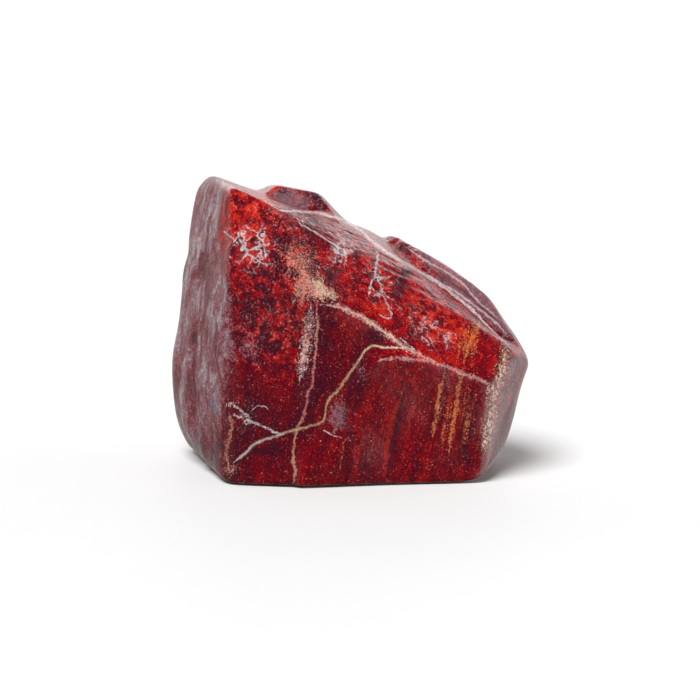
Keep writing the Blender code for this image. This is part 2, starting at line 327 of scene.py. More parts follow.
# The white lines run into each other, so they are laid on as one: (route, half-width).
WHITE_LINES = (
    ("white_fork", 0.17), ("white_fork_right", 0.14), ("white_hook", 0.12), ("white_scratch", 0.12),
    ("twin_line", 0.12), ("white_branch", 0.15), ("white_stem", 0.16), ("node_vein", 0.18),
    ("branch_vein", 0.10), ("low_arc", 0.08),
)

# Where the left end's colour stops on the front, from the bottom up, and over what distance it fades.
LEFT_BORDER = [
    (-15.9, 3.1), (-16.1, 8.8), (-16.3, 12.0), (-15.8, 16.5), (-15.2, 20.3), (-15.2, 22.9), (-16.5, 28.0),
    (-16.9, 32.8), (-16.6, 36.7),
]
BORDER_FADE = 0.35
# A colour of the left end, the top or the front comes in where the cosine between the normal and its way
# goes through its range.
LEFT_WAY = (-80, 0)
LEFT_RANGE = (0.75, 0.95)
TOP_WAY = (105, 55)
TOP_RANGE = (0.84, 0.97)
FRONT_RANGE = (-0.05, 0.2)

# Sheets that show as veins on the other sides: (azimuth, elevation, distance, half-width).
SHEET_VEINS = ((60, 35, 9.0, 0.20), (20, -40, -14.0, 0.14), (110, 10, -9.0, 0.25), (75, 60, 22.0, 0.12))

# The ridges behind the crown run along (x, z), and lie apart by y and this much z. Bends are (reach, turn
# along, start), and sines are (height, turn across, bend, turn along, start), with turns per millimetre.
RIDGE_ALONG = (0.85, -0.5)
RIDGE_LEAN = 0.4
RIDGE_WAY = (100, 50)
RIDGE_RANGE = (0.70, 0.86)
RIDGE_BENDS = ((0.9, 0.31, 0.0), (0.4, 0.83, 1.0))
RIDGE_SINES = ((0.5, 2.3, 1.0, 0.5, 0.0), (0.3, 4.4, 1.6, 0.37, 2.0))
# The swells run up the left end, and come in over this range to the left of the middle.
SWELL_LEAN = 0.12
SWELL_RANGE = (14.0, 18.0)
SWELL_BENDS = ((0.9, 0.27, 0.6),)
SWELL_SINES = ((0.6, 1.1, 0.0, 0.0, 0.0), (0.4, 2.5, 1.4, 0.21, 0.0))

# The beds stand nearly upright and lean this far to the right, in degrees.
BED_LEAN = 9.0
# How sharp a vein's edges are, how full it is, and the room beside its curve.
VEIN_SHARPNESS = 1.6
VEIN_FULLNESS = 0.9
CURVE_MARGIN = 0.1
# Specks and cracks to a millimetre, widths of the cracks and their haze, and the smoothest polish.
SPECK_SCALE = 3.6
CRACK_SCALE = 0.62
CRACK_WIDTH = 0.11
HAZE_WIDTH = 0.3
SMOOTHEST = 0.08


def direction(azimuth, elevation):
    """The unit vector that faces this way: azimuth 0 is -Y, 90 is +X, and elevation is up from level."""
    around, up = np.radians(azimuth), np.radians(elevation)
    return np.array((np.sin(around) * np.cos(up), -np.cos(around) * np.cos(up), np.sin(up)))


def soft_most(values, reach):
    """A rounded greatest: reach times the logarithm of the sum of exponentials of the values over reach."""
    values = np.stack(values)
    top = values.max(0)
    return top + reach * np.log(np.exp((values - top) / reach).sum(0))


def soft_least(values, reach):
    """A rounded least, the same way."""
    return -soft_most([-value for value in values], reach)


def beyond(points, facets, reach):
    """How far each point lies beyond a block's facets, with the block's edges rounded by reach."""
    heights = []
    for azimuth, elevation, distance in facets.values():
        heights.append((points - MIDDLE) @ direction(azimuth, elevation) - distance)
    return soft_most(heights, reach)


def beyond_ellipsoid(points, centre, half_sizes, azimuth, elevation):
    """Roughly how far each point lies outside an ellipsoid.

    With q the point in half-sizes, it is |q| (|q| - 1) over the length of q in half-sizes once more.
    """
    along = direction(azimuth, elevation)
    side = np.cross((0.0, 0.0, 1.0), along)
    side /= np.linalg.norm(side)
    axes = np.stack((along, side, np.cross(along, side)), axis=1)
    inside = (points - MIDDLE - centre) @ axes / half_sizes
    length = np.linalg.norm(inside, axis=1)
    slope = np.linalg.norm(inside / half_sizes, axis=1)
    return length * (length - 1) / np.maximum(slope, 1e-9)


def low_waves(points):
    """The sum of sines that run in different directions, dying out towards the base."""
    rng = np.random.default_rng(WAVE_SEED)
    height = np.zeros(len(points))
    for _ in range(WAVE_COUNT):
        way = rng.normal(size=3)
        way /= np.linalg.norm(way)
        turns = 2 * np.pi / rng.uniform(*WAVE_LENGTHS)
        height += WAVE_HEIGHT * np.sin(points @ way * turns + rng.uniform(0, 2 * np.pi))
    return height * np.clip(points[:, 2] / WAVE_RISE, 0.0, 1.0)


def smooth_step(value, low, high):
    """0 below low, 1 above high, and 3t^2 - 2t^3 between them."""
    t = np.clip((value - low) / (high - low), 0.0, 1.0)
    return t * t * (3 - 2 * t)


def bent_sines(along, across, bends, sines):
    """Uneven ridges: a sum of sines of the distance across them, which slower sines along them bend."""
    for reach, turn, begin in bends:
        across = across + reach * np.sin(along * turn + begin)
    total = np.zeros(len(along))
    for height, turn, bend, slow_turn, begin in sines:
        total += height * np.sin(across * turn + bend * np.sin(along * slow_turn + begin))
    return total


def flow_ridges(points, height):
    """Low ridges that run along the crown, over the top behind it."""
    inward = points - MIDDLE
    facing = inward @ direction(*RIDGE_WAY) / np.linalg.norm(inward, axis=1)
    along = points[:, (0, 2)] @ RIDGE_ALONG
    across = points[:, 1] + RIDGE_LEAN * points[:, 2]
    return height * smooth_step(facing, *RIDGE_RANGE) * bent_sines(along, across, RIDGE_BENDS, RIDGE_SINES)


def side_swells(points, height):
    """Low swells that run up the left end."""
    facing = smooth_step(-(points - MIDDLE)[:, 0], *SWELL_RANGE)
    across = points[:, 1] + SWELL_LEAN * points[:, 2]
    return height * facing * bent_sines(points[:, 2], across, SWELL_BENDS, SWELL_SINES)


def stone_height(points, look):
    """How far each point lies outside the stone, negative inside.

    The body's facets, the union of the front sheets and the union of the top sheets are intersected, the
    hollows are taken away, waves and ridges are added, and the underside is cut last.
    """
    front = soft_least([beyond(points, sheet, SHEET_EDGE) for sheet in FRONT_SHEETS.values()], SHEET_STEP)
    top = soft_least([beyond(points, sheet, TOP_EDGE) for sheet in TOP_SHEETS.values()], TOP_STEP)
    body = beyond(points, BODY, look.edge_rounding / MM)
    stone = soft_most([body, front, top], look.edge_rounding / MM)
    for hollow in HOLLOWS.values():
        stone = soft_most([stone, -beyond_ellipsoid(points, *hollow)], HOLLOW_RIM)
    stone += low_waves(points)
    stone -= flow_ridges(points, look.ridge_height / MM) + side_swells(points, look.swell_height / MM)
    return soft_most([stone, beyond(points, UNDERSIDE, BASE_EDGE)], UNDER_EDGE)


def ball_of_squares(cells):
    """Directions on the six square grids of a cube, and the squares between them.

    Each side's two parameters are tangents of equal angles, so the squares are about equal on the ball.
    """
    angle = np.linspace(-np.pi / 4, np.pi / 4, cells + 1)
    a, b = np.meshgrid(np.tan(angle), np.tan(angle), indexing="ij")
    one = np.ones_like(a)
    sides = [(one, a, b), (-one, b, a), (b, one, a), (a, -one, b), (a, b, one), (b, a, -one)]
    points = np.concatenate([np.stack(side, axis=-1).reshape(-1, 3) for side in sides])
    index = np.arange((cells + 1) ** 2).reshape(cells + 1, cells + 1)
    square = np.stack((index[:-1, :-1], index[1:, :-1], index[1:, 1:], index[:-1, 1:]), axis=-1)
    squares = np.concatenate([square.reshape(-1, 4) + side * (cells + 1) ** 2 for side in range(6)])
    _, first, same = np.unique(np.round(points, 6), axis=0, return_index=True, return_inverse=True)
    points, squares = points[first], same.reshape(-1)[squares]
    corners = points[squares]
    normal = np.cross(corners[:, 1] - corners[:, 0], corners[:, 2] - corners[:, 0])
    inward = (normal * corners.mean(axis=1)).sum(axis=1) < 0
    squares[inward] = squares[inward][:, ::-1]
    return points / np.linalg.norm(points, axis=1, keepdims=True), squares


def stone_surface(look):
    """Points of the stone and the squares between them.

    Along every direction from the middle, halving finds the distance where the height is nought.
    """
    ways, squares = ball_of_squares(look.cells)
    near = np.full(len(ways), NEAREST)
    far = np.full(len(ways), FARTHEST)
    for _ in range(HALVINGS):
        half = (near + far) / 2
        inside = stone_height(MIDDLE + ways * half[:, None], look) < 0
        near = np.where(inside, half, near)
        far = np.where(inside, far, half)
    points = MIDDLE + ways * ((near + far) / 2)[:, None]
    points[:, 2] = np.maximum(points[:, 2], 0.0)
    return points, squares


def picture_places(points):
    """Where each point stands on the flat picture from the front, (across, up).

    It is the point's distance aside and above the line of sight, over its distance away, at the scale of
    the middle.
    """
    forward = -direction(0, EYE_ELEVATION)
    upward = direction(0, EYE_ELEVATION + 90)
    seen = points - (EYE_TARGET - forward * EYE_DISTANCE)
    scale = EYE_DISTANCE / (seen @ forward)
    return seen[:, 0] * scale, seen @ upward * scale + PICTURE_BASE


def patch_strength(across, up, patches):
    """The sum over the patches of strength times e to the minus d squared.

    Here d is the distance from the patch's middle in its half-sizes, along its turned axes.
    """
    total = np.zeros(len(across))
    for middle_across, middle_up, half_width, half_height, turn, strength in patches:
        turn = np.radians(turn)
        x, y = across - middle_across, up - middle_up
        along = (x * np.cos(turn) + y * np.sin(turn)) / half_width
        aside = (y * np.cos(turn) - x * np.sin(turn)) / half_height
        total += strength * np.exp(-(along**2) - aside**2)
    return total


def make_object(name, points, faces):
    """A mesh object at the origin, from points in millimetres."""
    mesh = bpy.data.meshes.new(name)
    mesh.from_pydata((points * MM).tolist(), [], faces.tolist())
    mesh.shade_smooth()
    mesh.update()
    obj = bpy.data.objects.new(name, mesh)
    bpy.context.scene.collection.objects.link(obj)
    return obj


def add_values(obj, name, values):
    """Stores one number for each vertex, for a material to read."""
    attribute = obj.data.attributes.new(name, "FLOAT", "POINT")
    attribute.data.foreach_set("value", values.astype(np.float32))


def point_normals(obj):
    """The unit normal at each vertex."""
    normals = np.empty(len(obj.data.vertices) * 3)
    obj.data.vertices.foreach_get("normal", normals)
    return normals.reshape(-1, 3)


class Amount:
    """A number socket. Python's operators on it add Math nodes."""

    def __init__(self, paint, socket):
        self.paint = paint
        self.socket = socket

    def math(self, operation, *values, clamp=False):
        settings = {"operation": operation, "use_clamp": clamp}
        return self.paint.amount("ShaderNodeMath", settings, dict(enumerate(values)))

    def __add__(self, other):
        return self.math("ADD", self, other)

    def __sub__(self, other):
        return self.math("SUBTRACT", self, other)

    def __rsub__(self, other):
        return self.math("SUBTRACT", other, self)

    def __mul__(self, other):
        return self.math("MULTIPLY", self, other)

    def __truediv__(self, other):
        return self.math("DIVIDE", self, other)

    def __neg__(self):
        return self * -1.0

    def __abs__(self):
        return self.math("ABSOLUTE", self)

    __radd__ = __add__
    __rmul__ = __mul__

    def times_plus(self, factor, more, clamp=False):
        """The amount times a factor plus more, in one node, held between 0 and 1 if asked."""
        return self.math("MULTIPLY_ADD", self, factor, more, clamp=clamp)

    def greatest(self, other):
        """The greater of the two."""
        return self.math("MAXIMUM", self, other)

    def held(self):
        """Held between 0 and 1."""
        return self.math("ADD", self, 0.0, clamp=True)

    def step(self, low, high):
        """0 at low and 1 at high, smoothly between them. High may be the lower of the two."""
        settings = {"interpolation_type": "SMOOTHSTEP", "clamp": True}
        values = {"Value": self, "From Min": low, "From Max": high}
        return self.paint.amount("ShaderNodeMapRange", settings, values)


class Paint:
    """A node tree that expressions are written into."""

    def __init__(self, tree):
        self.tree = tree

    def node(self, kind, settings=None, values=None):
        """A node of a kind, with its settings made first, and then its sockets given values or links."""
        made = self.tree.nodes.new(kind)
        for name, setting in (settings or {}).items():
            setattr(made, name, setting)
        for name, value in (values or {}).items():
            self.feed(made.inputs[name], value)
        return made

    def feed(self, socket, value):
        """Links a socket to an amount or another socket, or sets its value."""
        if isinstance(value, Amount):
            value = value.socket
        if isinstance(value, bpy.types.NodeSocket):
            self.tree.links.new(value, socket)
        elif hasattr(value, "__len__") and len(value) == 3 and socket.type == "RGBA":
            socket.default_value = (*value, 1.0)
        else:
            socket.default_value = value

    def amount(self, kind, settings, values, output=0):
        """A node's output, as an amount."""
        return Amount(self, self.node(kind, settings, values).outputs[output])

    def joined(self, x, y, z):
        return self.node("ShaderNodeCombineXYZ", values={0: x, 1: y, 2: z}).outputs[0]

    def parts(self, vector):
        made = self.node("ShaderNodeSeparateXYZ", values={0: vector})
        return [Amount(self, socket) for socket in made.outputs]

    def stored(self, name):
        """The number stored under this name at each vertex."""
        return Amount(self, self.node("ShaderNodeAttribute", {"attribute_name": name}).outputs["Fac"])

    def noise(self, place, scale, detail, roughness=0.55, distortion=0.0):
        """Noise about 0.5, whose scale is in features per unit of the place."""
        values = {"Vector": place, "Scale": scale, "Detail": detail, "Roughness": roughness}
        values["Distortion"] = distortion
        return self.amount("ShaderNodeTexNoise", {"normalize": True}, values)

    def noise_vector(self, place, scale, detail=2.0):
        values = {"Vector": place, "Scale": scale, "Detail": detail}
        return self.node("ShaderNodeTexNoise", {"normalize": True}, values).outputs["Color"]

    def cells(self, place, scale, feature="F1"):
        """Distance in a field of scattered cells, to the nearest point or to the nearest border."""
        values = {"Vector": place, "Scale": scale}
        return self.amount("ShaderNodeTexVoronoi", {"feature": feature}, values, "Distance")

    def mix(self, share, first, second, blend="MIX"):
        """The first colour where share is 0, and the second where it is 1."""
        settings = {"data_type": "RGBA", "blend_type": blend}
        return self.node("ShaderNodeMix", settings, {0: share, 6: first, 7: second}).outputs[2]

    def ramp(self, value, look, name):
        """The colour of a ramp of RAMPS where value stands on it."""
        stops = [(place, (*getattr(look, shade), 1.0)) for place, shade in RAMPS[name]]
        made = self.node("ShaderNodeValToRGB", values={"Fac": value})
        elements = made.color_ramp.elements
        for place, colour in stops[1:-1]:
            elements.new(place).color = colour
        for element, (place, colour) in ((elements[0], stops[0]), (elements[-1], stops[-1])):
            element.position = place
            element.color = colour
        return made.outputs[0]

    def curve(self, value, places):
        """The smooth curve through places, (value, result), both between 0 and 1."""
        made = self.node("ShaderNodeFloatCurve", values={"Value": value})
        points = made.mapping.curves[0].points
        while len(points) < len(places):
            points.new(0.5, 0.5)
        for point, place in zip(points, places):
            point.location = place
            point.handle_type = "AUTO_CLAMPED"
        made.mapping.update()
        return Amount(self, made.outputs[0])


class JasperPaint(Paint):
    """Places on the stone that its patterns are laid by, in millimetres, and noises that they share."""

    def __init__(self, tree):
        super().__init__(tree)
        coordinates = self.node("ShaderNodeTexCoord").outputs["Object"]
        scaled = self.node("ShaderNodeVectorMath", {"operation": "SCALE"}, {0: coordinates, "Scale": 1 / MM})
        self.place = scaled.outputs[0]
        self.x, self.y, self.z = self.parts(self.place)
        wander = self.noise_vector(self.place, 0.35)
        self.bend = self.parts(wander)[0] - 0.5
        self.bent = self.shaken(wander, 1.6)
        self.picture = self.joined(self.stored("picture_across"), self.stored("picture_up"), 0.0)
        self.front = self.stored("front")
        self.jitter = self.noise(self.place, 1.1, 3.0, 0.65) - 0.5
        self.fine = self.noise(self.place, 4.2, 3.0, 0.75) - 0.5
        self.mottle = self.noise(self.bent, 1.15, 6.0, 0.78) - 0.5
        self.patchy = self.noise(self.place, 2.3, 2.0, 0.6) - 0.5
        lean = np.tan(np.radians(BED_LEAN))
        self.through = self.x - self.z * lean + self.bend * 3.0

    def shaken(self, noise, reach):
        """The place, moved by a coloured noise."""
        values = {0: noise, 1: (reach,) * 3, 2: self.place}
        return self.node("ShaderNodeVectorMath", {"operation": "MULTIPLY_ADD"}, values).outputs[0]

    def bed_noise(self, scale, detail, roughness):
        """Noise drawn out along the beds."""
        place = self.joined(self.through, self.y * 0.25, self.z * 0.10)
        return self.noise(place, scale, detail, roughness) - 0.5

    def strand(self, name, half_width, wobble, raggedness, taper, gaps):
        """How strongly a vein shows, and how far along its route a place is, from 0 to 1.

        The route is a curve over the straight line between its ends. A place is in the vein where its
        distance from the curve, shaken by noise, is under the half-width, which tapers at the ends. Noise
        also frays the vein's edges and leaves gaps in it.
        """
        route = np.array(ROUTES[name])
        start = route[0]
        length = np.linalg.norm(route[-1] - start)
        along_way = (route[-1] - start) / length
        aside_way = np.array((-along_way[1], along_way[0]))
        along = (route - start) @ along_way / length
        aside = (route - start) @ aside_way
        low, reach = aside.min() - CURVE_MARGIN, np.ptp(aside) + 2 * CURVE_MARGIN
        values = {
            "Vector": self.picture,
            "Location": (*(start + aside_way * low), 0.0),
            "Rotation": (0.0, 0.0, np.arctan2(along_way[1], along_way[0])),
            "Scale": (length, 1.0, 1.0),
        }
        mapping = self.node("ShaderNodeMapping", {"vector_type": "TEXTURE"}, values)
        s, across, _ = self.parts(mapping.outputs[0])
        line = self.curve(s, list(zip(along, (aside - low) / reach)))
        gap = abs(line.times_plus(-reach, self.jitter.times_plus(wobble, across)))
        ends = abs(s.times_plus(2.0, -1.0)).step(1.0, 1 - 2 * taper) * self.front
        ratio = gap / ends.times_plus(half_width, 0.001)
        frayed = self.fine.times_plus(raggedness * VEIN_SHARPNESS, VEIN_SHARPNESS)
        share = ratio.times_plus(-VEIN_SHARPNESS, frayed, clamp=True)
        return share * self.patchy.times_plus(gaps, VEIN_FULLNESS, clamp=True), s


def bedded_colour(paint, look, zones):
    """The stone's own red: beds, clumps and mottles, from dark purple to orange red.

    Its depth is the sum of noises, the drawn-out ones along the beds, and of the zones' tone.
    """
    restless = (zones["grain"] + zones["tone"] * 0.6).held()
    clumps = paint.noise(paint.bent, 0.75, 5.0, 0.6) - 0.5
    depth = (
        paint.bed_noise(0.42, 5.0, 0.6) * 0.8
        + paint.bed_noise(1.9, 4.0, 0.7) * 0.5
        + clumps * 0.25
        + (clumps.step(-0.07, 0.07) - 0.5) * restless * 0.44
        + paint.mottle * (restless * 1.7 + 0.3)
        + paint.fine * 0.7
        + zones["tone"] * 0.30
        + 0.34
    )
    return paint.ramp(depth, look, "beds")


def grained(paint, look, zones, colour):
    """Pale and orange specks, denser in some beds, and ochre dots in rows along the beds."""
    where = (paint.bed_noise(0.9, 3.0, 0.6) * 2.0 + zones["grain"] * 0.5 + 0.35).step(0.2, 0.9)
    dots = paint.cells(paint.place, SPECK_SCALE)
    specks = dots.step(0.24, 0.06) * (paint.patchy * 4.0 + where - 0.55).held()
    colour = paint.mix(specks * 0.6, colour, look.salmon)
    grains = (paint.mottle + paint.fine * 0.8).step(0.04, 0.2) * zones["grain"]
    colour = paint.mix(grains * 0.55, colour, look.lilac_grey_and_sheen)
    place = paint.joined((paint.through - paint.bend * 2.4) * 1.5, paint.y * 0.2, paint.z * 0.06)
    rows = (paint.noise(place, 1.0, 3.0, 0.6) - 0.5 + zones["ochre"] * 0.34).step(0.16, 0.30)
    ochre = rows * (dots.step(0.62, 0.3) + paint.fine * 1.8).held() * zones["ochre"].step(0.05, 0.4)
    return paint.mix(ochre * 0.8, colour, look.orange)


def side_and_top_colour(paint, look, zones, colour):
    """Lilac grey clouds drawn out up the left end and flowing bands along the top behind the crown, partly
    painted sheen.
    """
    streak_place = paint.joined(paint.y * 0.6 + paint.bend * 3.0, paint.z * 0.24, paint.x * 0.4)
    streaks = (paint.noise(streak_place, 0.8, 6.0, 0.68, 0.4) - 0.5) * 1.7 + paint.fine * 0.7
    clouds = streaks + paint.mottle * 0.5 + zones["tone"] * 0.24 + 0.53
    # The clouds are partly the left end's own grey streaks and partly painted sheen.
    colour = paint.mix(zones["left"] * 0.9, colour, paint.ramp(clouds, look, "clouds"))
    along = paint.x * RIDGE_ALONG[0] + paint.z * RIDGE_ALONG[1]
    flow_place = paint.joined(along * 0.14, (paint.y + paint.z * RIDGE_LEAN + paint.bend * 2.5) * 1.1, 0.0)
    flow = paint.noise(flow_place, 1.0, 6.0, 0.7, 0.6) - 0.5
    # The chalk bands are painted highlights along the ridges behind the crown.
    for grit, low, high, share, shade in (
        (0.4, -0.02, 0.12, 0.6, look.pink),
        (0.3, 0.15, 0.25, 0.4, look.chalk_and_highlight),
        (0.3, -0.06, -0.16, 0.7, look.red),
    ):
        band = (flow + paint.fine * grit).step(low, high)
        colour = paint.mix(band * zones["top"] * share, colour, shade)
    return colour, streaks, flow


def patched(paint, look, zones, colour):
    """Patches of lilac grey and of tan, with grainy edges; the grey on the lump and the ledge is painted
    sheen.
    """
    grey = (zones["grey"] * 0.9 + paint.mottle * 2.2 + paint.fine * 1.4).step(0.35, 0.95)
    colour = paint.mix(grey * 0.65, colour, look.lilac_grey_and_sheen)
    tan = (zones["tan"] * 0.9 + paint.mottle * 1.6 + paint.fine * 3.0).step(0.30, 1.0)
    tan_shade = paint.mix((paint.patchy + paint.fine).step(-0.3, 0.1), look.tan, look.salmon)
    colour = paint.mix(tan * 0.7, colour, tan_shade)
    cream = (zones["cream"] * 0.9 + paint.mottle * 1.4 + paint.fine * 2.4).step(0.40, 0.95)
    return paint.mix(cream * 0.75, colour, look.cream)


def crackled(paint, look, zones, colour):
    """A net of fine white cracks, pinker to the right: the borders between cells that noise has bent."""
    bent = paint.shaken(paint.noise_vector(paint.place, 0.9, 2.5), 2.4)
    net = paint.cells(bent, CRACK_SCALE, "DISTANCE_TO_EDGE") + paint.fine * 0.04
    here = (zones["crackle"] + paint.jitter * 2.4).step(0.35, 1.0)
    cracks = (1.0 - net / (here * CRACK_WIDTH + 0.001)).held() * here
    haze = (1.0 - net / HAZE_WIDTH).held() * here * 0.07
    shade = paint.mix(paint.x.step(2.0, 8.0) * 0.6, look.chalk_and_highlight, look.blush_and_sheen)
    return paint.mix(cracks * 0.8 + haze, colour, shade), cracks


def sheeted(paint, look, colour):
    """Pale veins on the sides away from the front, where flat sheets, bent by noise, cross the surface."""
    lines = None
    for azimuth, elevation, distance, half_width in SHEET_VEINS:
        x, y, z = direction(azimuth, elevation)
        gap = paint.x * x + paint.y * y + paint.z * z + paint.bend * 6.0 + paint.jitter * 0.6 - distance
        line = (1.0 - abs(gap) / half_width + paint.fine * 1.4).held() * (paint.patchy * 3.0 + 0.8).held()
        lines = line if lines is None else lines.greatest(line)
    return paint.mix(lines * (1.0 - paint.front) * 0.75, colour, look.salmon)


def veined(paint, look, colour):
    """The front's streaks, veins, painted highlights and painted shadows, from the widest and faintest to
    the sharpest.
    """
    grains = {"step_grain_sheen_and_shade": paint.mottle + paint.fine + 0.5, "gold_grain": paint.fine + paint.patchy + 0.5}
    for route, half_width, noises, share, shade in STROKES:
        stroke, along = paint.strand(route, half_width, *noises)
        if shade in RAMPS:
            shade = paint.ramp(grains.get(shade, along), look, shade)
        else:
            shade = getattr(look, shade)
        colour = paint.mix(stroke * share, colour, shade)
    lines = None
    for route, half_width in WHITE_LINES:
        line, _ = paint.strand(route, half_width, *BROKEN)
        lines = line if lines is None else lines.greatest(line)
    line_shade = paint.mix((paint.fine + paint.patchy).step(-0.2, 0.3), look.ash, look.chalk_and_highlight)
    colour = paint.mix(lines * 0.75, colour, line_shade)
    border, _ = paint.strand("olive_vein", 0.36, 0.35, 1.8, 0.06, 1.6)
    core, along = paint.strand("olive_vein", 0.21, 0.45, 2.0, 0.06, 1.2)
    colour = paint.mix(border * 0.7, colour, look.olive)
    return paint.mix(core * 0.85, colour, paint.ramp(along, look, "olive_run")), core


def new_material(name):
    """A material with nodes, and its main shader."""
    material = bpy.data.materials.new(name)
    material.use_nodes = True
    return material, material.node_tree.nodes["Principled BSDF"]


def jasper_material(look):
    """Polished jasper: the colours in their order, and a fine relief that follows the same noises."""
    material, shader = new_material("polished jasper")
    paint = JasperPaint(material.node_tree)
    zones = {name: paint.stored(name) for name in (*PATCHES, "left", "top")}
    colour = bedded_colour(paint, look, zones)
    colour = grained(paint, look, zones, colour)
    colour, streaks, flow = side_and_top_colour(paint, look, zones, colour)
    colour = patched(paint, look, zones, colour)
    colour, cracks = crackled(paint, look, zones, colour)
    colour = sheeted(paint, look, colour)
    colour, vein = veined(paint, look, colour)
    shade = (paint.fine * 1.7 + paint.patchy * 0.6 + 1.0).greatest(0.25)
    colour = paint.mix(1.0, colour, paint.joined(shade, shade, shade), "MULTIPLY")
    paint.feed(shader.inputs["Base Color"], colour)

    rough = paint.mottle * 0.5 + zones["grain"] * 0.10 + zones["top"] * 0.06 + look.roughness
    paint.feed(shader.inputs["Roughness"], rough.greatest(SMOOTHEST))
    shader.inputs["IOR"].default_value = look.refraction
    dents = paint.noise(paint.bent, 0.8, 2.0, 0.5) - 0.5
    relief = (
        dents * (zones["crackle"] * 3.0 + zones["top"] * 1.2 + 0.6)
        + paint.mottle * (zones["grain"] * 0.7 + 0.15)
        + paint.fine * 0.12
        + flow * (zones["top"] * 1.4 + 0.05)
        + streaks * zones["left"] * 1.6
        - cracks * 0.3
        - vein * 0.15
    )
    bump = paint.node("ShaderNodeBump", values={"Strength": 1.0, "Distance": look.relief, "Height": relief})
    paint.feed(shader.inputs["Normal"], bump.outputs[0])
    return material


def floor_material(studio):
    """Pale, nearly matt card, a little uneven in its gloss."""
    material, shader = new_material("pale floor")
    paint = Paint(material.node_tree)
    place = paint.node("ShaderNodeTexCoord").outputs["Object"]
    uneven = paint.noise(place, 60.0, 2.0)
    shader.inputs["Base Color"].default_value = (*studio.floor_colour, 1.0)
    paint.feed(shader.inputs["Roughness"], uneven * 0.1 + 0.6)
    return material


def colour_setting(name, description, default):
    """A colour that a user may change."""
    return bpy.props.FloatVectorProperty(
        name=name, description=description, default=default, subtype="COLOR", size=3, min=0.0, max=1.0
    )


def number_setting(name, description, default, **more):
    """A number that a user may change."""
    return bpy.props.FloatProperty(name=name, description=description, default=default, **more)


class StoneLook(bpy.types.PropertyGroup):
    """Sizes and colours of the stone."""

    cells: bpy.props.IntProperty(
        name="Cells", description="Squares along one side of each of the six grids", default=127, min=8
    )
    edge_rounding: number_setting("Edge rounding", "How far tumbling rounds edges", 0.0003, unit="LENGTH")
    ridge_height: number_setting("Ridge height", "Ridges behind the crown", 0.00007, unit="LENGTH")
    swell_height: number_setting("Swell height", "Swells on the left end", 0.00006, unit="LENGTH")
    refraction: number_setting("Refraction", "Refractive index of jasper", 1.54, min=1.0)
    roughness: number_setting("Roughness", "Roughness of the polished skin", 0.16, subtype="FACTOR")
    relief: number_setting("Relief", "Height of the fine relief", 0.00016, unit="LENGTH")
    # Purple is also laid as the painted shadow line beside the ridges behind the crown.
    purple: colour_setting("Purple", "Darkest beds", (0.055, 0.003, 0.011))
    deep_red: colour_setting("Deep red", "Dark beds", (0.150, 0.001, 0.005))
    red: colour_setting("Red", "Middle beds", (0.300, 0.003, 0.006))
    bright_red: colour_setting("Bright red", "Bright beds", (0.460, 0.016, 0.006))
    orange_red: colour_setting("Orange red", "Brightest grains", (0.640, 0.032, 0.010))
    # Lilac grey is also painted sheen on the lump, the ledge, the left end and the step.
    lilac_grey_and_sheen: colour_setting("Lilac grey", "Grey patches", (0.250, 0.140, 0.165))
    lilac_red: colour_setting("Lilac red", "Left end between its clouds", (0.250, 0.050, 0.065))
    tan: colour_setting("Tan", "Tan patches and vein cores", (0.470, 0.240, 0.155))
    salmon: colour_setting("Salmon", "Specks, pale veins and the band along the rim", (0.570, 0.265, 0.205))
    orange: colour_setting("Orange", "Dotted streaks", (0.560, 0.170, 0.060))
    pink: colour_setting("Pink", "Upright vein and the bands on the top", (0.450, 0.120, 0.120))
    cream: colour_setting("Cream", "Palest part of the veins", (0.640, 0.460, 0.320))
    # Chalk is also painted highlight along the crest, on the ridges behind it, in bands on the top and in
    # the step band.
    chalk_and_highlight: colour_setting("Chalk", "White cracks and lines", (0.720, 0.640, 0.650))
    ash: colour_setting("Ash", "Duller stretches of the white lines", (0.300, 0.240, 0.260))
    # Pale ash is also painted sheen in the palest clouds of the left end.
    pale_ash_and_sheen: colour_setting("Pale ash", "Palest clouds and the vein's low end", (0.430, 0.370, 0.370))
    olive: colour_setting("Olive", "Edges of the main vein", (0.130, 0.060, 0.025))
    # Blush is also painted sheen and painted highlight along the crest, the rim and the sill.
    blush_and_sheen: colour_setting("Blush", "Crest, the rim of the step and pink cracks", (0.600, 0.320, 0.300))
    slate: colour_setting("Slate", "Blue specks", (0.090, 0.130, 0.210))
    # Ink is also painted shade, in the crease beside the step and in the step band.
    ink: colour_setting("Ink", "Darkest streaks", (0.020, 0.006, 0.010))


class StudioLook(bpy.types.PropertyGroup):
    """The floor, the lights and the camera."""

    floor_colour: colour_setting("Floor colour", "Colour of the floor", (0.86, 0.86, 0.86))
    lens: number_setting("Lens", "Focal length", 120.0, unit="CAMERA")
    key_strength: number_setting("Key strength", "Strength of the soft light from above", 3.6)


